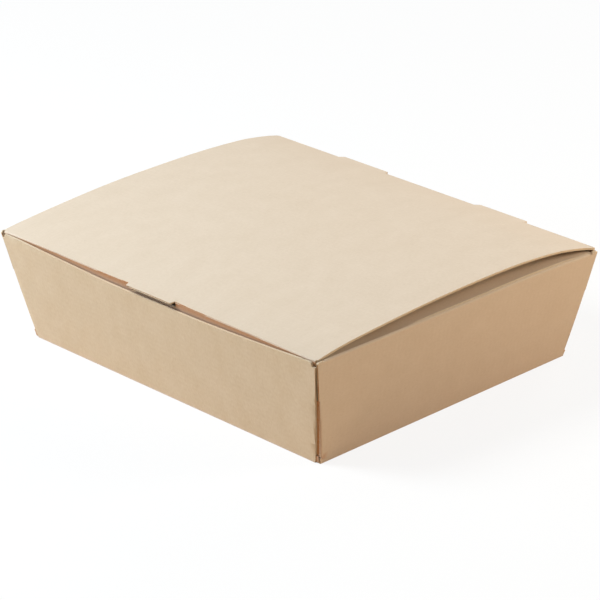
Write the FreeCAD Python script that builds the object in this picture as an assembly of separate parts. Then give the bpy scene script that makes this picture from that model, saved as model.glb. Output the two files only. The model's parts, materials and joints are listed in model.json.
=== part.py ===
import FreeCAD, Part
import math
import os
from FreeCAD import Placement, Rotation, Vector

# A folding snack box, die-cut from one sheet of micro-flute board: a tray with four flared walls,
# and a bowed lid that turns on a crease along the back wall. Millimetres. X runs along the hinge,
# the front faces -Y, and the origin is the middle of the base's underside.

# Board
board = 0.9

# Tray, outside sizes
base_width = 180.0
base_depth = 150.0
wall_height = 50.0
wall_flare = 10.2

# Cut ends of the front and back walls, measured in from the side walls' inner faces
seam_top = 0.3
seam_bottom = 1.3

# Front and back walls' top corners, notched so that the lid's corners can go down past them
corner_notch_width = 2.0
corner_notch_depth = 2.0
corner_notch_radius = 0.5
rim_corner = 0.6

# Front wall's rim, dipped along one long arc between two level ends
rim_drop = 0.6
rim_level = 5.7
dip_depth = 3.3

# Glue tabs, folded from the side walls and stuck inside the front and back walls, ending a
# clearance below the tuck flap
glue_tab_bottom = 3.0
glue_tab_clearance = 4.0
glue_tab_width = 16.0
glue_tab_taper = 3.0
glue_tab_corner = 2.0

# Dust flaps, folded inwards from the side walls, each root set a little ahead of where the tuck
# flap's tip stands, and the walls' cut ends, a little proud of the glue tabs' folds
dust_flap_width = 28.0
dust_flap_lead = 1.185
dust_flap_taper = 15.0
dust_flap_corner = 5.0
side_corner = 0.8
side_proud = 0.15

# Lid, which clears the side walls' inner faces, and the height of its underside over its chord:
# the way forward and the share of the rise
lid_side_gap = 0.5
lid_front_drop = 0.25
lid_front_corner = 0.8
lid_back_corner = 1.0
lid_rise = 6.1
lid_bow = [(0.055, 0.36), (0.19, 0.78), (0.43, 1.0), (0.72, 0.80), (0.93, 0.43)]

# Tuck flap, folded down from the lid's front edge inside the front wall, and leaning away from it
tuck_gap = 0.35
tuck_lean = 8.0
tuck_depth = 15.0
tuck_taper = 2.5
tuck_corner = 6.0

# Tabs that stay flat with the lid, where the cut steps round the crease
tab_width = 29.5
tab_length = 3.0
tab_taper = 0.9
tab_corner = 0.7
tab_root = 3.0
tab_lift = 2.0
tab_gap = 0.5
hinge_tab_place = 42.3

# Hinge crease, where the lid's rolled edge turns over the back wall's top
hinge_gap = 0.4

across = Vector(1, 0, 0)
up = Vector(0, 0, 1)
down = Vector(0, 0, -1)
flare = math.radians(wall_flare)
level_board = board / math.cos(flare)
slope_height = wall_height / math.cos(flare)
front_height = wall_height - lid_front_drop
tuck_slope = flare + math.radians(tuck_lean)
tuck_reach = tuck_depth * math.sin(tuck_slope)
glue_tab_top = front_height - tuck_depth * math.cos(tuck_slope) - glue_tab_clearance


def crease_length(degrees):
    """What a bend of so many degrees takes from the outside of each panel."""
    return board * math.tan(math.radians(degrees) / 2)


base_crease = crease_length(90 - wall_flare)
top_crease = crease_length(90 + wall_flare)


def spread(height):
    """How far the walls' outer faces have flared out at a height."""
    return height * math.tan(flare)


def slope_at(height, depth):
    """Distance up a wall's slope of the point at a height, so deep behind the outer face."""
    return (height - depth * math.sin(flare)) / math.cos(flare)


def outline(corners):
    """Closed wire through (x, y, radius) corners."""
    count = len(corners)
    rounds = []
    for index in range(count):
        x, y, radius = corners[index]
        corner = Vector(x, y, 0)
        behind = (Vector(*corners[index - 1][:2]) - corner).normalize()
        ahead = (Vector(*corners[(index + 1) % count][:2]) - corner).normalize()
        half = behind.getAngle(ahead) / 2
        reach = radius / math.tan(half)
        middle = (behind + ahead).normalize() * (radius / math.sin(half) - radius)
        rounds.append((corner + behind * reach, corner + middle, corner + ahead * reach))
    edges = []
    for index in range(count):
        start, middle, end = rounds[index]
        if corners[index][2] > 0:
            edges.append(Part.Arc(start, middle, end).toShape())
        edges.append(Part.makeLine(end, rounds[(index + 1) % count][0]))
    return Part.Wire(edges)


def both_sides(right_half):
    """An outline's right half, listed from the bottom up, with its mirror image added."""
    return right_half + [(-x, y, radius) for x, y, radius in reversed(right_half)]


def panel(corners, place):
    """Flat panel with its outer face on the frame's XY plane."""
    sheet = Part.Face(outline(corners)).extrude(down * board)
    sheet.Placement = place
    return sheet


def crease(start, end, first, second):
    """Bend about an inner corner line, from one panel's outward normal to the next one's."""
    ends = [start, end, end + first * board, start + first * board, start]
    turn = math.degrees(first.getAngle(second))
    return Part.Face(Part.makePolygon(ends)).revolve(start, first.cross(second), turn)


def wall_place(reach, turn):
    """A wall's frame: X along its base edge, Y up its outer face and Z outwards."""
    about = Placement(Vector(), Rotation(up, turn))
    tilt = Placement(Vector(0, -reach, 0), Rotation(across, 90 + wall_flare))
    return about * tilt


def outward(place):
    """Outward normal of a panel's frame."""
    return place.Rotation.multVec(up)


def joined(shapes):
    """One clean solid from touching shapes."""
    return shapes[0].multiFuse(shapes[1:]).removeSplitter()


def copies(shape, x_mirror, y_mirror):
    """A shape with its mirror images to the left, to the back, or both."""
    found = [shape]
    if x_mirror:
        found += [each.mirror(Vector(), across) for each in found]
    if y_mirror:
        found += [each.mirror(Vector(), Vector(0, 1, 0)) for each in found]
    return found


# Where the front and back walls' cut ends meet the base, and how far the side walls reach there
front_end = base_width / 2 - level_board - seam_bottom
side_end = base_depth / 2 - level_board + side_proud


def base():
    """Base panel, its corners slanting out from the front creases' ends to the side creases' ends."""
    x = base_width / 2 - base_crease
    y = base_depth / 2 - base_crease
    corners = both_sides([(front_end, -y, 0), (x, -side_end, 0), (x, side_end, 0), (front_end, y, 0)])
    return panel(corners, Placement(Vector(0, 0, board), Rotation()))


def base_bend(place, half):
    """Crease between the base and the wall that stands in a frame."""
    start = place.multVec(Vector(-half, base_crease, -board))
    end = place.multVec(Vector(half, base_crease, -board))
    return crease(start, end, down, outward(place))


def rim_end(top):
    """Half the width of the front or back wall at a slope height."""
    return base_width / 2 + top * math.sin(flare) - level_board - seam_top


def end_wall(place, top, rim):
    """Front or back wall up to a slope height, with the right half of its rim's outline."""
    notch_floor = top - corner_notch_depth
    notch_side = rim_end(top) - corner_notch_width
    half = [(front_end, base_crease, 0), (rim_end(notch_floor), notch_floor, 0)]
    half += [(notch_side, notch_floor, corner_notch_radius), (notch_side, top, rim_corner)]
    return panel(both_sides(half + rim), place)


def front_wall():
    """Front wall with its crease, and the long shallow dip in its rim."""
    place = wall_place(base_depth / 2, 0)
    top = slope_at(wall_height - rim_drop, 0)
    dip_half = rim_end(top) - rim_level
    radius = (dip_half ** 2 + dip_depth ** 2) / (2 * dip_depth)
    dip = Part.makeCylinder(radius, 3 * board, Vector(0, top - dip_depth + radius, -2 * board))
    dip.Placement = place * dip.Placement
    return [end_wall(place, top, []).cut(dip), base_bend(place, front_end)]


def back_wall():
    """Back wall with its crease, ending just below the lid's rolled edge and notched for its tabs."""
    place = wall_place(base_depth / 2, 180)
    hinge = slope_at(wall_height, board)
    top = hinge - board - hinge_gap
    bottom = hinge - tab_length - board
    right = hinge_tab_place + tab_width / 2 + tab_gap
    left = hinge_tab_place - tab_width / 2 - tab_gap
    notch = [(right, top, 0), (right, bottom, 0), (left, bottom, 0), (left, top, 0)]
    return [end_wall(place, top, notch), base_bend(place, front_end)]


def glue_fold(height):
    """Inner corner between the right side wall and its front glue tab, at a height."""
    x = base_width / 2 + spread(height) - level_board
    y = base_depth / 2 + spread(height) - 2 * level_board
    return Vector(x, -y, height)


def side_wall():
    """Right side wall with its creases, dust flap and front glue tab."""
    place = wall_place(base_width / 2, 90)
    low = slope_at(glue_tab_bottom, board)
    high = slope_at(glue_tab_top, board)
    low_fold = -glue_fold(glue_tab_bottom).y
    high_fold = -glue_fold(glue_tab_top).y
    high_end = side_end + spread(glue_tab_top)
    top_end = side_end + spread(wall_height)
    flap_end = top_end - tuck_reach + dust_flap_lead
    below_tab = [(side_end, base_crease, 0), (side_end + spread(glue_tab_bottom), low, 0)]
    along_tab = [(low_fold, low, 0), (high_fold, high, 0)]
    above_tab = [(high_end, high, 0), (top_end, slope_height, side_corner)]
    under_flap = [(flap_end, slope_height, 0), (flap_end, slope_height - top_crease, 0)]
    wall = panel(both_sides(below_tab + along_tab + above_tab + under_flap), place)

    start = place.multVec(Vector(-flap_end, slope_height - top_crease, -board))
    end = place.multVec(Vector(flap_end, slope_height - top_crease, -board))
    flap_fold = base_width / 2 + spread(wall_height) - top_crease
    flap_edge = flap_fold - dust_flap_width
    tip_end = flap_end - dust_flap_taper
    flap = [(flap_fold, -flap_end, 0), (flap_fold, flap_end, 0)]
    flap += [(flap_edge, tip_end, dust_flap_corner), (flap_edge, -tip_end, dust_flap_corner)]
    level = Placement(Vector(0, 0, wall_height), Rotation())
    return [wall, base_bend(place, side_end), crease(start, end, outward(place), up), panel(flap, level)]


def glue_tab():
    """Front glue tab of the right side wall, its outer face against the front wall's inner face."""
    low = glue_fold(glue_tab_bottom)
    high = glue_fold(glue_tab_top)
    low_slope = slope_at(glue_tab_bottom, 2 * board)
    high_slope = slope_at(glue_tab_top, 2 * board)
    corners = [(low.x, low_slope, 0), (high.x, high_slope, 0)]
    corners += [(high.x - glue_tab_width, high_slope - glue_tab_taper, glue_tab_corner)]
    corners += [(low.x - glue_tab_width, low_slope + glue_tab_taper, glue_tab_corner)]
    front = wall_place(base_depth / 2, 0)
    inside = front * Placement(down * board, Rotation())
    bend = crease(low, high, outward(wall_place(base_width / 2, 90)), outward(front))
    return [panel(corners, inside), bend]


def tray():
    """The whole tray, from the base outwards."""
    shapes = [base()] + front_wall() + back_wall()
    for shape in side_wall():
        shapes += copies(shape, True, False)
    for shape in glue_tab():
        shapes += copies(shape, True, True)
    return joined(shapes)


# The lid's two inner fold lines, seen in the middle plane
lid_half = base_width / 2 + spread(wall_height) - level_board - lid_side_gap
hinge_line = Vector(0, base_depth / 2 + spread(wall_height) - level_board, wall_height)
front_inset = 2 * level_board + tuck_gap / math.cos(flare)
front_line = Vector(0, front_inset - base_depth / 2 - spread(front_height), front_height)


def lid_curve():
    """Bowed line of the lid's underside, from the hinge forward to the front fold."""
    points = [hinge_line]
    for way, share in lid_bow:
        points.append(hinge_line + (front_line - hinge_line) * way + up * (share * lid_rise))
    points.append(front_line)
    curve = Part.BSplineCurve()
    curve.interpolate(points)
    return curve


def upper_normal(direction):
    """Normal above a direction in the lid's section."""
    normal = across.cross(direction).normalize()
    return normal if normal.z > 0 else normal * -1


def bowed_sheet(curve):
    """The lid's bowed panel with its rounded corners."""
    top = Part.OffsetCurve(curve, board, across).toBSpline()
    back_edge = Part.makeLine(top.StartPoint, curve.StartPoint)
    front_edge = Part.makeLine(curve.EndPoint, top.EndPoint)
    section = Part.Wire([curve.toShape(), front_edge, top.toShape(), back_edge])
    sheet = Part.Face(section).extrude(across * (2 * lid_half))
    sheet.translate(across * -lid_half)
    front = (lid_half, front_line.y - board, lid_front_corner + board)
    back = (lid_half, hinge_line.y + board, lid_back_corner + board)
    plan = Part.Face(outline(both_sides([front, back])))
    return sheet.common(plan.extrude(up * (2 * wall_height)))


def flat_tab(curve, at_hinge, x):
    """A tab that runs on straight from the lid, past the fold line at one end of the curve."""
    if at_hinge:
        at = curve.parameterAtDistance(tab_root, curve.FirstParameter)
        direction = curve.tangent(at)[0] * -1
    else:
        at = curve.parameterAtDistance(-tab_root, curve.LastParameter)
        direction = curve.tangent(at)[0]
    lift = math.radians(tab_lift)
    flat_normal = upper_normal(direction)
    ahead = direction * math.cos(lift) + flat_normal * math.sin(lift)
    normal = upper_normal(ahead)
    turn = Rotation(ahead.cross(normal), ahead, normal, "XYZ")
    place = Placement(curve.value(at) + normal * board + across * x, turn)
    tip = (tab_width / 2 - tab_taper, tab_root + tab_length, tab_corner)
    return panel(both_sides([(tab_width / 2, 0, 0), (tab_width / 2, tab_root, 0), tip]), place)


def rolled_edge(start, end):
    """A length of the lid's rolled back edge, which turns about the hinge line."""
    return Part.makeCylinder(board, end - start, hinge_line + across * start, across)


def tuck_flap(curve):
    """Tuck flap with its crease, notched where the finger tab is cut from it."""
    lean = Placement(Vector(), Rotation(across, 90 + math.degrees(tuck_slope)))
    place = Placement(front_line + outward(lean) * board, lean.Rotation)
    fold_half = lid_half - lid_front_corner
    notch = tab_width / 2
    edge = [(fold_half - tuck_taper, -tuck_depth, tuck_corner), (fold_half, 0, 0)]
    edge += [(notch, 0, 0), (notch - tab_taper, -tab_length, 0)]
    lid_normal = upper_normal(curve.tangent(curve.LastParameter)[0])
    start = front_line + across * notch
    end = front_line + across * fold_half
    bend = crease(start, end, lid_normal, outward(place))
    return [panel(both_sides(edge), place)] + copies(bend, True, False)


def lid():
    """The whole lid in its closed place."""
    curve = lid_curve()
    inner = hinge_tab_place - tab_width / 2
    outer = hinge_tab_place + tab_width / 2
    shapes = [bowed_sheet(curve)] + tuck_flap(curve)
    shapes.append(flat_tab(curve, False, 0))
    shapes += copies(flat_tab(curve, True, hinge_tab_place), True, False)
    shapes.append(rolled_edge(-inner, inner))
    shapes += copies(rolled_edge(outer, lid_half - lid_back_corner), True, False)
    return joined(shapes)


os.makedirs("parts", exist_ok=True)
for name, make in (("tray", tray), ("lid", lid)):
    make().exportStep("parts/" + name + ".step")
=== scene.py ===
import json
import math

import bmesh
import bpy
import numpy as np
from mathutils import Matrix, Vector
from mathutils.bvhtree import BVHTree


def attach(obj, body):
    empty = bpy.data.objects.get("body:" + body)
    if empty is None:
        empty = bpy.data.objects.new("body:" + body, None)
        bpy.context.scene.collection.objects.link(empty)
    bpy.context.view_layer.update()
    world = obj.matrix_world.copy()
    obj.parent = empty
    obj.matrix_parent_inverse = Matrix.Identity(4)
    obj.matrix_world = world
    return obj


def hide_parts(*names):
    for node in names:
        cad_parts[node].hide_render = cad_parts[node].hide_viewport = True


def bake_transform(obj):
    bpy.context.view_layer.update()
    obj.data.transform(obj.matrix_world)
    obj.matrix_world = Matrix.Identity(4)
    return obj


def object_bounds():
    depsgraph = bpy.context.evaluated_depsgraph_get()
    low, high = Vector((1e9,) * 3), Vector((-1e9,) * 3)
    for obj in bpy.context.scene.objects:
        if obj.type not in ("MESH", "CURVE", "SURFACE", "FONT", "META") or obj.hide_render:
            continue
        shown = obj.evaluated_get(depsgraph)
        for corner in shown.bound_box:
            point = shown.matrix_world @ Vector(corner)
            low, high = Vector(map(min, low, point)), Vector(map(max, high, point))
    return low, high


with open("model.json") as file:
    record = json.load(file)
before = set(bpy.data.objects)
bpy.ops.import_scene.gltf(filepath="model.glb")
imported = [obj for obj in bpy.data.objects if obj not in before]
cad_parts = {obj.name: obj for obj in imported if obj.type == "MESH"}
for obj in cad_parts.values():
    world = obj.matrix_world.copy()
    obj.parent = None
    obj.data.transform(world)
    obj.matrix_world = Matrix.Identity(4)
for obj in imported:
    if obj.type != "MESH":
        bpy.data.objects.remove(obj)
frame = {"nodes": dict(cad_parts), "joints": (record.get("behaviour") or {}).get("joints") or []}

# A snack box folded from one sheet of kraft micro-flute board. The imported tray and lid give the
# folded shape. This script gives the board its make-up: two kraft liners with the fluting between
# them at every cut edge, liner strips over the hinge crease, the slight warp of a box folded by hand,
# and the paper's own surface. Sizes are in metres, written as so many mm, and angles in radians.

MM = 0.001
cad_low, cad_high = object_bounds()

# The board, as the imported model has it
BOARD = 0.9 * MM
WALL_HEIGHT = 50.0 * MM
WALL_FLARE = math.radians(10.2)
TUCK_SLOPE = math.radians(18.2)
BASE_HALF_DEPTH = 75.0 * MM
TAB_PLACE = 42.3 * MM
TAB_WIDTH = 29.5 * MM
LID_HALF = 97.58 * MM
LID_BACK_CORNER = 1.0 * MM
LID_SLOPE = math.radians(16.2)

# Its liners, and the pitch of the flutes and thickness of the medium between them. In a cut edge: how
# deep it goes in between the liners, how far back the fluting stands, and the fluting's facets
LINER = 0.15 * MM
FLUTE_PITCH = 2.4 * MM
MEDIUM = 0.11 * MM
CUT_DEPTH = 0.18 * MM
CUT_SETBACK = 0.02 * MM
FLUTE_STEP = 0.3 * MM

# How a cut edge is told from a panel: how many boards thick the sheet is at most, how wide an edge is
# in boards when both liners show, and the shortest one that gets fluting
THICKEST_SHEET = 2.2
NARROWEST_EDGE = 0.8
WIDEST_EDGE = 1.3
SHORTEST_EDGE = 0.3 * MM

# The liners' strips over the hinge crease: how far they lap onto wall and lid, how far they stand
# proud, how far below the crease's bead the inner one stops, and the facets round the fold
WALL_LAP = 1.8 * MM
LID_LAP = 0.5 * MM
STRIP_PROUD = 0.03 * MM
BEAD_CLEARANCE = 0.3 * MM
ARC_STEPS = 8

# The crushed board that closes the foot of each corner seam: its bottom and top, and its two ends as
# distances from the box's middle
FOOT_LOW = 0.5 * MM
FOOT_HIGH = 3.6 * MM
FOOT_INNER = 87.2 * MM
FOOT_OUTER = 89.6 * MM

# How far a scored fold is pressed out, as a share of the way to its square corner and a little beyond,
# and the least and the widest turn between its facets. What turns inwards by more than a trace stays.
FOLD_PRESS = 1.15
LEAST_TURN = 0.02
FOLD_TURN = math.radians(35)
INWARD_TRACE = 0.01

# Painted shade, where the liner is darkened under folds that look downwards, down the tuck flap and in the
# front corner seams:
# how far down the tuck flap it reaches, and how far up a face may look before it is left out
FLAP_SHADE_DEPTH = 8.0 * MM
LEVEL_FACE = 0.5

# Facets: the cells that bend, where they start as a share of one, how flat and how close the model's
# own facets lie when they are merged, how far a ray starts below a face, and how near to the lid's
# side a corner lies to be on it
CELL = 4.0 * MM
CELL_START = 0.37
FLAT_TURN = 0.002
WELD = 0.002 * MM
RAY_START = 0.001 * MM
SIDE_TRACE = 0.01 * MM

# The least cosines at which two faces look the same way, a face lies nearly level, and a face looks
# mostly sideways
SAME_WAY = 0.999
NEARLY_LEVEL = 0.9
MOSTLY_SIDEWAYS = 0.7

# Shading: the turn that stays sharp, and how strongly a wide panel leads its folds, where 50 is not at
# all and 100 is the most
SHARP_TURN = math.radians(32)
PANEL_LEAD = 100

# The slow waviness of a folded sheet: its height and length. For each way that a point moves, x, y and
# z, it adds up waves. Each has its share of the height, how often it turns in that length along x, y
# and z, and the angle that it starts at.
WARP = 0.16 * MM
WARP_LENGTH = 95.0 * MM
WAVES = [[(1.0, (0, 0.9, 0.3), 0.7), (0.5, (0, 1.7, -0.4), 2.1)],
         [(1.0, (0.8, 0, 0.2), 1.9), (0.5, (1.9, 0, 0.3), 0.4)],
         [(1.0, (0.7, 0.5, 0), 2.6), (0.4, (1.3, -1.1, 0), 1.2)]]

# How the tops of the walls have racked, moved aside, spread, spread more at the back, and risen, how
# the side walls bulge and how low down, and how far from the straight hinge the sheet is held true
RACK = 0.8 * MM
SHIFT = -0.6 * MM
SPREAD = 0.75 * MM
BACK_SPREAD = 0.4 * MM
RISE = 0.45 * MM
BULGE = 0.55 * MM
BULGE_SKEW = 0.6
HINGE_REACH = 22.0 * MM

# How far the front left corner of the walls sags under the lid, and how closely that keeps to it
CORNER_SAG = 1.5 * MM
CORNER_POWER = 8

# How the bowed lid lies off an even bow, before it fades to nothing at its two folds: places from the
# front to the back as a share of half the depth, and the lift there along the left and right sides, in mm
LID_PLACES = [-0.97, -0.87, -0.77, -0.66, -0.56, -0.35, -0.12, 0.12, 0.35, 0.58, 0.81, 0.97]
LID_LEFT = [-8.0, -7.3, -5.8, -4.3, -2.9, -1.6, -1.0, -0.7, -1.0, -1.5, -1.3, -1.0]
LID_RIGHT = [-2.0, -2.4, -3.0, -1.8, -0.8, 0.0, 0.4, 0.5, 0.6, 0.8, 0.9, 0.6]
LID_TERMS = 6

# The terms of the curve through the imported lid's facets
BOW_TERMS = 8

left_lift = np.polynomial.Polynomial.fit(LID_PLACES, LID_LEFT, LID_TERMS)
right_lift = np.polynomial.Polynomial.fit(LID_PLACES, LID_RIGHT, LID_TERMS)


def wall_face(x, y):
    """The way that the outside of the flared wall towards (x, y) looks."""
    return Vector((x * math.cos(WALL_FLARE), y * math.cos(WALL_FLARE), -math.sin(WALL_FLARE)))


hinge = Vector(frame["joints"][0]["pos_m"])
across_hinge = Vector((1, 0, 0))
wall_normal = wall_face(0, 1)
front_normal = wall_face(0, -1)
wall_up = Vector((0, math.sin(WALL_FLARE), math.cos(WALL_FLARE)))
flap_normal = Vector((0, -math.cos(TUCK_SLOPE), -math.sin(TUCK_SLOPE)))


# ---------------------------------------------------------------- small tools

def linear(code):
    """An sRGB hex colour as linear RGBA."""
    parts = [int(code[i:i + 2], 16) / 255 for i in (1, 3, 5)]
    return [c / 12.92 if c <= 0.04045 else ((c + 0.055) / 1.055) ** 2.4 for c in parts] + [1]


def add(tree, kind, inputs=None, **settings):
    """Adds a node with its settings. Inputs are {socket: value, or the output to link}."""
    node = tree.nodes.new(kind)
    for key, value in settings.items():
        setattr(node, key, value)
    for socket, value in (inputs or {}).items():
        if isinstance(value, bpy.types.NodeSocket):
            tree.links.new(value, node.inputs[socket])
        else:
            node.inputs[socket].default_value = value
    return node


def new_object(name, data):
    """An object for a mesh, lamp or camera, in the scene."""
    thing = bpy.data.objects.new(name, data)
    bpy.context.scene.collection.objects.link(thing)
    return thing


def empty_tree(owner):
    """The node tree of a material or world, with nothing in it yet."""
    owner.use_nodes = True
    owner.node_tree.nodes.clear()
    return owner.node_tree


def off_hinge(point):
    """How far a point lies from the hinge line."""
    return (point - hinge).cross(across_hinge).length


# ---------------------------------------------------------------- camera

# What it looks at and from how far, the way round from the front, the height and the tilt, its lens in
# mm, and how near and how far it sees in metres
CAMERA_AIM = Vector((2.66, -0.72, 22.90)) * MM
CAMERA_DISTANCE = 1305.8 * MM
CAMERA_AZIMUTH = math.radians(46.07)
CAMERA_ELEVATION = math.radians(23.56)
CAMERA_ROLL = math.radians(-0.51)
CAMERA_LENS = 179.3
CAMERA_NEAR = 0.1
CAMERA_FAR = 20


def make_camera():
    """A long lens, looking down on the front right corner."""
    data = bpy.data.cameras.new("camera")
    data.lens = CAMERA_LENS
    data.clip_start = CAMERA_NEAR
    data.clip_end = CAMERA_FAR
    camera = new_object("camera", data)
    level = math.cos(CAMERA_ELEVATION)
    back = Vector((math.sin(CAMERA_AZIMUTH) * level, -math.cos(CAMERA_AZIMUTH) * level,
                   math.sin(CAMERA_ELEVATION)))
    look = (-back).to_track_quat("-Z", "Y").to_matrix().to_4x4()
    place = Matrix.Translation(CAMERA_AIM + back * CAMERA_DISTANCE)
    camera.matrix_world = place @ look @ Matrix.Rotation(CAMERA_ROLL, 4, "Z")
    bpy.context.scene.camera = camera


make_camera()


# ---------------------------------------------------------------- materials

# The paper's grains: their size in mm along and across the flutes, and how much detail they hold
GRAINS = [("clouds", 9.0, 14.0, 3.0), ("mottle", 1.1, 1.6, 4.0), ("fibres", 0.35, 2.2, 3.0),
          ("flecks", 0.5, 1.5, 1.0)]

# What the grains' patterns are shifted by, times their size, so that they don't line up
GRAIN_SHIFT_ALONG = 7.7
GRAIN_SHIFT_ACROSS = 3.1

# How much each grain adds to the paper's tone and to its relief, and the relief's height and strength
TONE = [("clouds", 0.30), ("mottle", 0.35), ("fibres", 0.30), ("ridges", 0.05)]
RELIEF = [("ridges", 0.35), ("fibres", 0.5), ("mottle", 0.6)]
RELIEF_HEIGHT = 0.012 * MM
RELIEF_STRENGTH = 0.6

FLECK_BROWN = linear("#a88a68")
# Painted shade: the brown that the paper turns to under folds that look downwards, down the tuck flap and in
# the front corner seams
FOLD_SHADE_BROWN = linear("#ba7e4c")
WHITE = linear("#ffffff")


def kraft(name, light, dark):
    """Unbleached kraft paper, machine made: a matt, slightly cloudy brown sheet of long fibres that
    mostly lie along the machine direction, which runs across the flutes. The flutes show through as
    faint ridges. Painted shade darkens the paper towards brown where the "fold" mark is set: under
    folds that look downwards, down the tuck flap and in the front corner seams. The map "sheet" holds
    (along the flutes, across the flutes) in metres."""
    material = bpy.data.materials.new(name)
    tree = empty_tree(material)
    sheet = add(tree, "ShaderNodeUVMap", uv_map="sheet").outputs["UV"]

    grain = {}
    for key, along, across, detail in GRAINS:
        shift = (GRAIN_SHIFT_ACROSS * across, GRAIN_SHIFT_ALONG * along, 0)
        scale = (1 / (along * MM), 1 / (across * MM), 1)
        scaled = add(tree, "ShaderNodeMapping", {"Vector": sheet, "Location": shift, "Scale": scale})
        noise = add(tree, "ShaderNodeTexNoise", {"Vector": scaled.outputs["Vector"], "Scale": 1.0,
                                                 "Detail": detail, "Roughness": 0.6})
        grain[key] = noise.outputs["Fac"]
    way = add(tree, "ShaderNodeSeparateXYZ", {"Vector": sheet}).outputs["Y"]
    turns = add(tree, "ShaderNodeMath", {0: way, 1: 2 * math.pi / FLUTE_PITCH}, operation="MULTIPLY")
    wave = add(tree, "ShaderNodeMath", {0: turns.outputs[0]}, operation="SINE")
    ridges = add(tree, "ShaderNodeMapRange", {"Value": wave.outputs[0], "From Min": -1.0})
    grain["ridges"] = ridges.outputs[0]

    def weighted(parts, low, high):
        """The sum of several grains, each spread from a low to a high value and given a weight."""
        total = 0.0
        for key, weight in parts:
            part = add(tree, "ShaderNodeMapRange",
                       {"Value": grain[key], "From Min": low, "From Max": high, "To Max": weight})
            whole = add(tree, "ShaderNodeMath", {0: total, 1: part.outputs[0]}, operation="ADD")
            total = whole.outputs[0]
        return total

    tone = weighted(TONE, low=0.3, high=0.7)
    paper = add(tree, "ShaderNodeMix", {0: tone, 6: linear(dark), 7: linear(light)}, data_type="RGBA")
    fleck = add(tree, "ShaderNodeMapRange",
                {"Value": grain["flecks"], "From Min": 0.74, "From Max": 0.82, "To Max": 0.35})
    flecked = add(tree, "ShaderNodeMix",
                  {0: fleck.outputs[0], 6: paper.outputs[2], 7: FLECK_BROWN}, data_type="RGBA")
    # The painted shade mark, made patchy by the mottle, mixes the paper towards that brown
    fold = add(tree, "ShaderNodeAttribute", attribute_name="fold").outputs["Fac"]
    patchy = add(tree, "ShaderNodeMapRange",
                 {"Value": grain["mottle"], "From Min": 0.2, "From Max": 0.7, "To Min": 0.75})
    painted_fold_shade = add(tree, "ShaderNodeMath", {0: fold, 1: patchy.outputs[0]}, operation="MULTIPLY")
    colour = add(tree, "ShaderNodeMix",
                 {0: painted_fold_shade.outputs[0], 6: flecked.outputs[2], 7: FOLD_SHADE_BROWN}, data_type="RGBA")

    height = weighted(RELIEF, low=0.0, high=1.0)
    bump = add(tree, "ShaderNodeBump",
               {"Height": height, "Strength": RELIEF_STRENGTH, "Distance": RELIEF_HEIGHT})
    rough = add(tree, "ShaderNodeMapRange",
                {"Value": grain["mottle"], "From Min": 0.3, "From Max": 0.7, "To Min": 0.74, "To Max": 0.84})
    shader = add(tree, "ShaderNodeBsdfPrincipled",
                 {"Base Color": colour.outputs[2], "Normal": bump.outputs["Normal"],
                  "Roughness": rough.outputs[0], "Specular IOR Level": 0.22,
                  "Sheen Weight": 0.04, "Sheen Roughness": 0.5})
    add(tree, "ShaderNodeOutputMaterial", {"Surface": shader.outputs["BSDF"]})
    return material


# The matt faces of the sheet, the fibres that a die leaves along a cut, and the browner recycled paper
# that the flutes are formed from
liner_paper = kraft("kraft_liner_paper", "#e6d5c1", "#dac7b0")
cut_paper = kraft("cut_kraft_edge", "#e4d2b8", "#d2ba98")
medium_paper = kraft("recycled_fluting_paper", "#d9c2a0", "#c2a682")


# ---------------------------------------------------------------- board

def polyline_at(points, share):
    """The point a share of the way along a list of points."""
    lengths = [(b - a).length for a, b in zip(points, points[1:])]
    left = share * sum(lengths)
    for start, end, length in zip(points, points[1:], lengths):
        if left <= length or end is points[-1]:
            return start.lerp(end, min(left / length, 1) if length else 0)
        left -= length


def warp(point):
    """How far a point of the sheet has moved from true: slow waves and leaning walls that fade out at
    the table, the lid's uneven bow, and the corner that sags under it."""
    turn = 2 * math.pi / WARP_LENGTH
    share = min(1, max(0, point.z / WALL_HEIGHT))
    right = point.x / cad_high[0]
    back = point.y / cad_high[1]
    waves = [sum(part * math.sin(turn * sum(f * c for f, c in zip(turns, point)) + start)
                 for part, turns, start in along) for along in WAVES]
    racked = Vector((SHIFT + RACK * back + SPREAD * right + BACK_SPREAD * right * back, 0, RISE))
    moved = (Vector(waves) * WARP + racked) * share
    moved.x += BULGE * right * math.sin(math.pi * share ** BULGE_SKEW)
    held = min(1, off_hinge(point) / HINGE_REACH) ** 2
    lift = 0.0
    if point.z > WALL_HEIGHT and abs(back) < 1:
        across = (left_lift(back) * (1 - right) + right_lift(back) * (1 + right)) / 2
        lift = across * (1 - back * back) * MM
    elif right < 0 and back < 0:
        lift = -CORNER_SAG * (right * back * share) ** CORNER_POWER
    return Vector((moved.x, moved.y * held, moved.z * held + lift))


def merged_copy(node):
    """A node's mesh as whole flat faces instead of loose triangles."""
    mesh = bmesh.new()
    mesh.from_mesh(frame["nodes"][node].data)
    bmesh.ops.remove_doubles(mesh, verts=mesh.verts, dist=WELD)
    bmesh.ops.dissolve_limit(mesh, angle_limit=FLAT_TURN, verts=mesh.verts, edges=mesh.edges)
    return mesh


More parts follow.
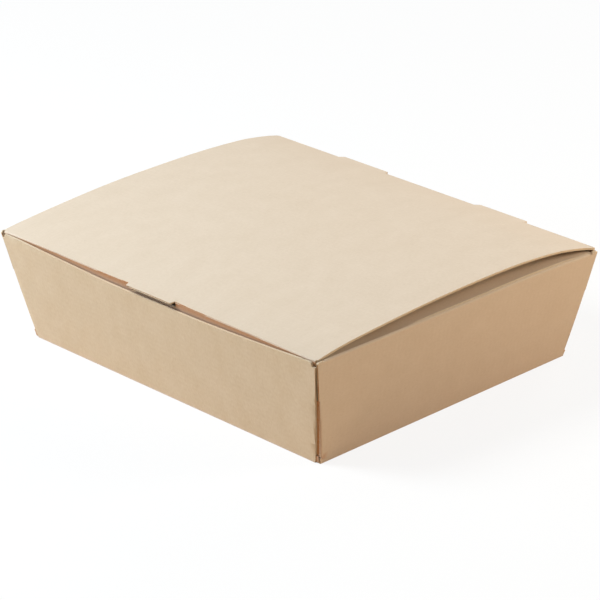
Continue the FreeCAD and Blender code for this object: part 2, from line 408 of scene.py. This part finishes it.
def press_folds(mesh, cuts):
    """Presses the outside of each fold out towards its square corner, as a scored fold is."""
    panels = [Vector((0, 0, 1)), Vector((0, 0, -1)), flap_normal]
    panels += [wall_face(x, y) for x, y in ((1, 0), (-1, 0), (0, 1), (0, -1))]
    shifts = {}
    for vert in mesh.verts:
        if abs(vert.co.x) > LID_HALF - BOARD and vert.co.z > WALL_HEIGHT / 2:
            continue
        turns = [edge.calc_face_angle_signed(0) for edge in vert.link_edges
                 if edge.is_manifold and not any(face in cuts for face in edge.link_faces)]
        if not turns or min(turns) < -INWARD_TRACE or not LEAST_TURN < max(turns) < FOLD_TURN:
            continue
        liners = [face.normal for face in vert.link_faces if face not in cuts]
        normal = sum(liners, Vector()).normalized()
        nearest = max(normal.dot(panel) for panel in panels)
        shifts[vert] = normal * BOARD * FOLD_PRESS * (1 / nearest - 1)
    for vert, shift in shifts.items():
        vert.co += shift


def cut_edge_faces(mesh):
    """The faces along the board's cut edges: straight in from one, the sheet is far deeper than it is
    thick. The rounded edges at the crease aren't cut. Known fault: the middle of the front wall's
    outside lies over its dipped rim, so that wide face is found too. It wears the cut edges' paper, and
    its own cut edges get no recess or fluting. The colours were matched to the photo with it."""
    tree = BVHTree.FromBMesh(mesh)
    found = []
    for face in mesh.faces:
        middle = face.calc_center_median()
        distance = tree.ray_cast(middle - face.normal * RAY_START, -face.normal)[3]
        deep = distance is None or distance > THICKEST_SHEET * BOARD
        if deep and off_hinge(middle) > 2 * BOARD:
            found.append(face)
    return found


def full_width(chains):
    """Whether a cut edge's face has a liner along each side, a board apart."""
    if len(chains) != 2:
        return False
    first, second = [polyline_at(chain, 0.5) for chain in chains]
    length = sum((b - a).length for a, b in zip(chains[0], chains[0][1:]))
    return NARROWEST_EDGE < (first - second).length / BOARD < WIDEST_EDGE and length > SHORTEST_EDGE


def liner_chains(face, cut_faces):
    """The stretches of a cut edge's outline that border a liner, each as a list of points."""
    loops = list(face.loops)
    is_liner = [loop.link_loop_radial_next.face not in cut_faces for loop in loops]
    if all(is_liner):
        return []
    start = next(i for i in range(len(loops)) if is_liner[i] and not is_liner[i - 1]) if any(is_liner) else 0
    chains = []
    for step in range(len(loops)):
        i = (start + step) % len(loops)
        if not is_liner[i]:
            continue
        if step == 0 or not is_liner[i - 1]:
            chains.append([loops[i].vert.co.copy()])
        chains[-1].append(loops[i].link_loop_next.vert.co.copy())
    return chains


def flute_way(normal):
    """Unit vector across the flutes in a panel with this normal. The flutes run with the hinge, and up
    the side walls."""
    if abs(normal.x) > MOSTLY_SIDEWAYS:
        return Vector((0, 1, 0))
    return normal.cross(across_hinge).normalized()


def fluting_path(face, chains, cut_faces):
    """Middle line of a cut edge, as a list of (point, way across the board, way in, distance across the
    flutes)."""
    first, second = chains[0], chains[1][::-1]
    beside = next(loop.link_loop_radial_next.face for loop in face.loops
                  if loop.link_loop_radial_next.face not in cut_faces)
    way = flute_way(beside.normal)
    length = sum((b - a).length for a, b in zip(first, first[1:]))
    count = max(len(first), len(second), math.ceil(length / CELL) + 1)
    deep = -face.normal * (CUT_SETBACK + CUT_DEPTH) / 2
    path = []
    for i in range(count):
        share = i / (count - 1)
        a = polyline_at(first, share)
        b = polyline_at(second, share)
        middle = (a + b) / 2
        path.append((middle + deep, (b - a).normalized(), -face.normal, middle.dot(way)))
    return path


def bow_over_facets(mesh, side):
    """How far the lid's curve lies over its facets at a place along it, above (1) or below (-1)."""
    known = sorted((v.co.y, v.co.z) for v in mesh.verts
                   if abs(abs(v.co.x) - LID_HALF) < SIDE_TRACE
                   and any(f.normal.z * side > NEARLY_LEVEL for f in v.link_faces))
    y, z = np.array(known).T
    curve = np.polynomial.Polynomial.fit(y, z, BOW_TERMS)

    def over(place):
        """The curve's height over the facets there, and 0 beyond the bow's ends."""
        if not y[0] < place < y[-1]:
            return 0.0
        return float(curve(place) - np.interp(place, y, z))
    return over


def round_bow(mesh, paths, above, below):
    """Lifts the lid's cells and the lines of its fluting from the facets onto the curve."""
    for vert in mesh.verts:
        if vert.co.z > WALL_HEIGHT - BOARD and vert.co.y < hinge.y:
            on_top = max(f.normal.z for f in vert.link_faces) > NEARLY_LEVEL
            vert.co.z += above(vert.co.y) if on_top else below(vert.co.y)
    for middle in [stop[0] for path in paths for stop in path]:
        if middle.z > WALL_HEIGHT - BOARD:
            middle.z += (above(middle.y) + below(middle.y)) / 2


def refine(mesh):
    """Cuts the flat faces into cells, so that they can bend."""
    low = [min(v.co[i] for v in mesh.verts) for i in range(3)]
    high = [max(v.co[i] for v in mesh.verts) for i in range(3)]
    for axis in range(3):
        normal = Vector((0, 0, 0))
        normal[axis] = 1
        for k in range(math.ceil(low[axis] / CELL), math.floor(high[axis] / CELL) + 1):
            point = normal * ((k + CELL_START) * CELL)
            everything = list(mesh.verts) + list(mesh.edges) + list(mesh.faces)
            bmesh.ops.bisect_plane(mesh, geom=everything, dist=WELD, plane_co=point, plane_no=normal)


def lay_sheet_map(mesh):
    """Stores each corner's place on the sheet, along and across the flutes, in metres."""
    layer = mesh.loops.layers.uv.new("sheet")
    for face in mesh.faces:
        way = flute_way(face.normal)
        along = way.cross(face.normal)
        for loop in face.loops:
            loop[layer].uv = (loop.vert.co.dot(along), loop.vert.co.dot(way))


def paint_fold_shade(mesh):
    """Stores painted shade at each corner, as how far the liner is darkened: along the sides of its
    outward folds that look downwards, down the tuck flap under the lid's front fold, and where a glue tab
    shows in the seam beside the wall that covers it. The tops of the side walls are folded softly and
    are left out."""
    layer = mesh.loops.layers.float.new("fold")
    under_wall = BASE_HALF_DEPTH * math.cos(WALL_FLARE) - BOARD / 2
    for vert in mesh.verts:
        turns = [e.calc_face_angle_signed(0) for e in vert.link_edges
                 if e.is_manifold and all(f.material_index == 0 for f in e.link_faces)]
        bend = min(1, max(turns + [0]) / FOLD_TURN)
        for loop in vert.link_loops:
            normal = loop.face.normal
            if abs(normal.x) > MOSTLY_SIDEWAYS and vert.co.z > WALL_HEIGHT / 2:
                continue
            loop[layer] = bend * min(1, max(0, LEVEL_FACE - normal.z))
            if normal.dot(flap_normal) > SAME_WAY:
                loop[layer] = min(1, max(0, 1 - (WALL_HEIGHT - vert.co.z) / FLAP_SHADE_DEPTH))
            if normal.dot(front_normal) > SAME_WAY and vert.co.dot(front_normal) < under_wall:
                loop[layer] = 1


def finished(mesh, name, papers):
    """The piece that a board mesh makes, once it has its map, its warp and its papers."""
    mesh.normal_update()
    lay_sheet_map(mesh)
    paint_fold_shade(mesh)
    for vert in mesh.verts:
        vert.co += warp(vert.co)
    bmesh.ops.triangulate(mesh, faces=[f for f in mesh.faces if len(f.verts) > 4])
    data = bpy.data.meshes.new(name)
    mesh.to_mesh(data)
    mesh.free()
    for paper in papers:
        data.materials.append(paper)
    data.shade_smooth()
    data.set_sharp_from_angle(angle=SHARP_TURN)
    piece = new_object(name, data)
    flatten_panels(piece)
    return piece


def flatten_panels(piece):
    """Makes the wide panels lead the shading at their folds, and leaves a plain mesh."""
    modifier = piece.modifiers.new("panels", "WEIGHTED_NORMAL")
    modifier.mode = "FACE_AREA"
    modifier.weight = PANEL_LEAD
    modifier.keep_sharp = True
    graph = bpy.context.evaluated_depsgraph_get()
    shaded = bpy.data.meshes.new_from_object(piece.evaluated_get(graph), depsgraph=graph)
    shaded.name = piece.name
    piece.modifiers.remove(modifier)
    piece.data = shaded


def board_piece(node, name):
    """The folded board of a node with its liners and a recess along every cut edge, and the lines
    that its fluting follows."""
    mesh = merged_copy(node)
    cuts = set(cut_edge_faces(mesh))
    for face in cuts:
        face.material_index = 1
    press_folds(mesh, cuts)
    mesh.normal_update()
    chains = {face: liner_chains(face, cuts) for face in mesh.faces if face in cuts}
    full = [face for face in chains if full_width(chains[face])]
    paths = [fluting_path(face, chains[face], cuts) for face in full]
    bows = [bow_over_facets(mesh, side) for side in (1, -1)] if node == "lid" else []
    made = bmesh.ops.inset_region(mesh, faces=full, thickness=LINER, depth=-CUT_DEPTH,
                                  use_even_offset=True, use_boundary=True)
    for face in made["faces"]:
        face.material_index = 1
    refine(mesh)
    if bows:
        round_bow(mesh, paths, *bows)
    return finished(mesh, name, [liner_paper, cut_paper]), paths


# ---------------------------------------------------------------- fluting

def fluting_tree():
    """Nodes that stand a strip of wavy medium along the middle line of each cut edge. Where the cut
    runs along the flutes, the distance across them stays the same and the strip is straight."""
    tree = bpy.data.node_groups.new("fluting", "GeometryNodeTree")
    tree.interface.new_socket("Geometry", in_out="INPUT", socket_type="NodeSocketGeometry")
    for name in ("Pitch", "Swing", "Depth", "Thickness", "Step"):
        tree.interface.new_socket(name, in_out="INPUT", socket_type="NodeSocketFloat")
    tree.interface.new_socket("Material", in_out="INPUT", socket_type="NodeSocketMaterial")
    tree.interface.new_socket("Geometry", in_out="OUTPUT", socket_type="NodeSocketGeometry")
    given = add(tree, "NodeGroupInput").outputs
    stored = {}
    for name, kind in (("across", "FLOAT_VECTOR"), ("inward", "FLOAT_VECTOR"), ("way", "FLOAT")):
        node = add(tree, "GeometryNodeInputNamedAttribute", {"Name": name}, data_type=kind)
        stored[name] = node.outputs["Attribute"]
    line = add(tree, "GeometryNodeMeshToCurve", {"Mesh": given["Geometry"]})
    line = add(tree, "GeometryNodeResampleCurve", {"Curve": line.outputs["Curve"], "Length": given["Step"]},
               mode="LENGTH")
    flutes = add(tree, "ShaderNodeMath", {0: stored["way"], 1: given["Pitch"]}, operation="DIVIDE")
    angle = add(tree, "ShaderNodeMath", {0: flutes.outputs[0], 1: 2 * math.pi}, operation="MULTIPLY")
    wave = add(tree, "ShaderNodeMath", {0: angle.outputs[0]}, operation="SINE")
    swing = add(tree, "ShaderNodeMath", {0: wave.outputs[0], 1: given["Swing"]}, operation="MULTIPLY")
    aside = add(tree, "ShaderNodeVectorMath",
                {0: stored["across"], "Scale": swing.outputs[0]}, operation="SCALE")
    line = add(tree, "GeometryNodeSetPosition",
               {"Geometry": line.outputs["Curve"], "Offset": aside.outputs[0]})
    line = add(tree, "GeometryNodeSetCurveNormal",
               {"Curve": line.outputs["Geometry"], "Normal": stored["inward"]}, mode="FREE")
    section = add(tree, "GeometryNodeCurvePrimitiveQuadrilateral",
                  {"Width": given["Thickness"], "Height": given["Depth"]}, mode="RECTANGLE")
    strip = add(tree, "GeometryNodeCurveToMesh",
                {"Curve": line.outputs["Curve"], "Profile Curve": section.outputs["Curve"],
                 "Fill Caps": True})
    whole = add(tree, "GeometryNodeRealizeInstances", {"Geometry": strip.outputs["Mesh"]})
    papered = add(tree, "GeometryNodeSetMaterial",
                  {"Geometry": whole.outputs["Geometry"], "Material": given["Material"]})
    add(tree, "NodeGroupOutput", {"Geometry": papered.outputs["Geometry"]})
    return tree


def fluting_piece(tree, name, paths):
    """The fluting seen in the cut edges of one body, as a plain mesh."""
    stops = []
    edges = []
    for path in paths:
        edges += [(len(stops) + i, len(stops) + i + 1) for i in range(len(path) - 1)]
        stops += path
    middles, across, inward, way = zip(*stops)
    lines = bpy.data.meshes.new(name + "_lines")
    lines.from_pydata(middles, edges, [])
    for key, vectors in (("across", across), ("inward", inward)):
        values = np.array(vectors, dtype=np.float32).ravel()
        lines.attributes.new(key, "FLOAT_VECTOR", "POINT").data.foreach_set("vector", values)
    lines.attributes.new("way", "FLOAT", "POINT").data.foreach_set("value", way)
    guide = new_object(name + "_guide", lines)
    modifier = guide.modifiers.new("fluting", "NODES")
    modifier.node_group = tree
    sizes = {"Pitch": FLUTE_PITCH, "Swing": (BOARD - 2 * LINER - MEDIUM) / 2,
             "Depth": CUT_DEPTH - CUT_SETBACK, "Thickness": MEDIUM, "Step": FLUTE_STEP,
             "Material": medium_paper}
    for item in tree.interface.items_tree:
        if item.in_out == "INPUT" and item.name in sizes:
            modifier[item.identifier] = sizes[item.name]
    graph = bpy.context.evaluated_depsgraph_get()
    wavy = bpy.data.meshes.new_from_object(guide.evaluated_get(graph), depsgraph=graph)
    bpy.data.objects.remove(guide)
    mesh = bmesh.new()
    mesh.from_mesh(wavy)
    bmesh.ops.recalc_face_normals(mesh, faces=mesh.faces)
    return finished(mesh, name, [medium_paper])


# ---------------------------------------------------------------- hinge crease

def turned(angle):
    """Unit vector at an angle above the way back, in the plane that the lid turns in."""
    return Vector((0, math.cos(angle), math.sin(angle)))


def crease_spans():
    """The lengths of the hinge between the cuts for its tabs."""
    inner = TAB_PLACE - TAB_WIDTH / 2
    outer = TAB_PLACE + TAB_WIDTH / 2
    end = LID_HALF - LID_BACK_CORNER
    return [(-end, -outer), (-inner, inner), (outer, end)]


def liner_strip(name, line, spans):
    """A strip of liner whose face follows a line of (point, normal), over spans from left to right."""
    section = [point + normal * STRIP_PROUD for point, normal in line]
    section += [point - normal * (LINER - STRIP_PROUD) for point, normal in reversed(line)]
    mesh = bmesh.new()
    for start, stop in spans:
        count = math.ceil((stop - start) / CELL)
        rings = []
        for step in range(count + 1):
            place = across_hinge * (start + (stop - start) * step / count)
            rings.append([mesh.verts.new(point + place) for point in section])
        for ring, after in zip(rings, rings[1:]):
            for i in range(len(ring)):
                mesh.faces.new((ring[i - 1], ring[i], after[i], after[i - 1]))
        mesh.faces.new(rings[0])
        mesh.faces.new(rings[-1])
    bmesh.ops.recalc_face_normals(mesh, faces=mesh.faces)
    return finished(mesh, name, [liner_paper])


def outer_crease():
    """The outer liner, from the back wall round the fold and onto the lid."""
    lid_ahead = Vector((0, -math.cos(LID_SLOPE), math.sin(LID_SLOPE)))
    first = -WALL_FLARE
    last = math.pi / 2 - LID_SLOPE
    line = [(hinge + wall_normal * BOARD - wall_up * WALL_LAP, wall_normal)]
    for step in range(ARC_STEPS + 1):
        normal = turned(first + (last - first) * step / ARC_STEPS)
        line.append((hinge + normal * BOARD, normal))
    line.append((hinge + turned(last) * BOARD + lid_ahead * LID_LAP, turned(last)))
    strip = liner_strip("outer_crease", line, crease_spans())
    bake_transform(strip)


def inner_crease():
    """The inner liner, from the back wall to where it turns with the crease's bead."""
    end = hinge - wall_up * (BOARD + BEAD_CLEARANCE)
    line = [(hinge - wall_up * WALL_LAP, -wall_normal), (end, -wall_normal)]
    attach(liner_strip("inner_crease", line, crease_spans()), "tray")


def seam_feet(name, side):
    """The crushed board between the wall at the front (-1) or back (1) and the side walls' ends, which
    closes the corner below the glue tabs."""
    normal = wall_face(0, side)
    line = []
    for height in (FOOT_LOW, FOOT_HIGH):
        outside = Vector((0, side * (BASE_HALF_DEPTH + height * math.tan(WALL_FLARE)), height))
        line.append((outside - normal * BOARD / 2, normal))
    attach(liner_strip(name, line, [(-FOOT_OUTER, -FOOT_INNER), (FOOT_INNER, FOOT_OUTER)]), "tray")


# ---------------------------------------------------------------- the box

wavy_medium = fluting_tree()
for node in ("tray", "lid"):
    board, paths = board_piece(node, node + "_board")
    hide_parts(node)
    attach(board, node)
    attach(fluting_piece(wavy_medium, node + "_fluting", paths), node)
outer_crease()
inner_crease()
seam_feet("front_seam_feet", -1)
seam_feet("back_seam_feet", 1)


# ---------------------------------------------------------------- studio

# Each soft lamp: name, place and size across in metres, power in watts, and colour
LAMPS = [("window", (-0.55, -0.62, 0.85), 0.5, 11.3, "#f8feff"),
         ("low_window", (-0.70, -1.30, 0.50), 0.6, 2.35, "#cbe6ff"),
         ("window_reflector", (-0.48, -0.44, 0.20), 0.25, 1.2, "#bcdcff"),
         ("right", (0.50, 0.42, 0.30), 0.3, 2.2, "#ffeed6"),
         ("back", (-0.30, 1.30, 0.50), 0.6, 5.0, "#ffffff")]
LAMP_AIM = Vector((0, 0, 0.03))

# The strength of the light from all round, how far the floor reaches in metres, how much of what is
# seen of it takes shadow, and the warm card that the light bounces off
WORLD_LIGHT = 0.2
FLOOR_REACH = 6.0
SHADOW_SHARE = 0.15
CARD = linear("#d2b492")


def seen_directly(tree):
    """1 for rays from the camera, straight or by way of gloss or glass, and 0 for the rest."""
    path = add(tree, "ShaderNodeLightPath").outputs
    gloss = add(tree, "ShaderNodeMath",
                {0: path["Is Camera Ray"], 1: path["Is Glossy Ray"]}, operation="MAXIMUM")
    seen = add(tree, "ShaderNodeMath",
               {0: gloss.outputs[0], 1: path["Is Transmission Ray"]}, operation="MAXIMUM")
    return seen.outputs[0]


def make_world():
    """Faint even light, from a world that is seen as white."""
    world = bpy.data.worlds.new("studio")
    bpy.context.scene.world = world
    tree = empty_tree(world)
    lit = add(tree, "ShaderNodeBackground", {"Color": WHITE, "Strength": WORLD_LIGHT})
    shown = add(tree, "ShaderNodeBackground", {"Color": WHITE, "Strength": 1.0})
    seen = seen_directly(tree)
    both = add(tree, "ShaderNodeMixShader", {0: seen, 1: lit.outputs[0], 2: shown.outputs[0]})
    add(tree, "ShaderNodeOutputWorld", {"Surface": both.outputs[0]})


def hang_lamps():
    """Soft round lamps about the box, which the camera doesn't see."""
    for name, place, size, power, colour in LAMPS:
        data = bpy.data.lights.new(name, "AREA")
        data.shape = "DISK"
        data.size = size
        data.energy = power
        data.color = linear(colour)[:3]
        lamp = new_object(name, data)
        lamp.visible_camera = False
        turn = (LAMP_AIM - Vector(place)).to_track_quat("-Z", "Y").to_matrix().to_4x4()
        lamp.matrix_world = Matrix.Translation(place) @ turn


def lay_floor():
    """A pale card floor that is seen as white where no shadow falls."""
    mesh = bpy.data.meshes.new("floor")
    corners = [(x * FLOOR_REACH, y * FLOOR_REACH, 0) for x, y in ((-1, -1), (1, -1), (1, 1), (-1, 1))]
    mesh.from_pydata(corners, [], [(0, 1, 2, 3)])
    floor = new_object("floor", mesh)
    material = bpy.data.materials.new("pale_card_floor")
    tree = empty_tree(material)
    card = add(tree, "ShaderNodeBsdfDiffuse", {"Color": CARD})
    matt = add(tree, "ShaderNodeBsdfDiffuse", {"Color": WHITE})
    white = add(tree, "ShaderNodeEmission", {"Color": WHITE, "Strength": 1.0})
    pale = add(tree, "ShaderNodeMixShader", {0: SHADOW_SHARE, 1: white.outputs[0], 2: matt.outputs[0]})
    seen = seen_directly(tree)
    both = add(tree, "ShaderNodeMixShader", {0: seen, 1: card.outputs[0], 2: pale.outputs[0]})
    add(tree, "ShaderNodeOutputMaterial", {"Surface": both.outputs[0]})
    mesh.materials.append(material)


bpy.context.scene.view_settings.view_transform = "Standard"
make_world()
hang_lamps()
lay_floor()
